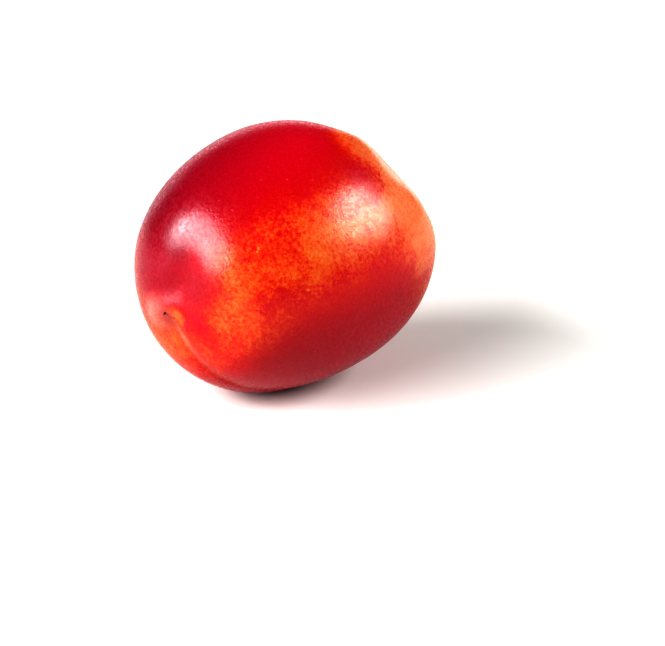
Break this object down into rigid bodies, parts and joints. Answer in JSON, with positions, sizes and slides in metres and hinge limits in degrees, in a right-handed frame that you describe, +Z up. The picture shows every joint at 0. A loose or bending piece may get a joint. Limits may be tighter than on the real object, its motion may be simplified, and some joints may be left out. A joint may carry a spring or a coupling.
{
  "type": "nectarine",
  "caption": "Whole ripe nectarine lying on its side on a small flat spot, with a suture groove, a pointed tip, and a short woody stub in the hollow at its stalk end.",
  "frame": {"origin": "centre of the small flat spot that the fruit rests on", "axes": "+Z up, +X towards the stalk end, so the tip is at -X and the fruit lies along X, with its suture turned down and to the -Y side"},
  "size_m": [0.0729, 0.0635, 0.0636],
  "materials": {
    "skin": "smooth waxy skin, crimson blush over orange, mottled and finely speckled",
    "bark": "dry brown stalk, ridged and rough"
  },
  "bodies": {
    "root": {"fruit": "skin", "stem_stub": "bark"}
  },
  "joints": []
}
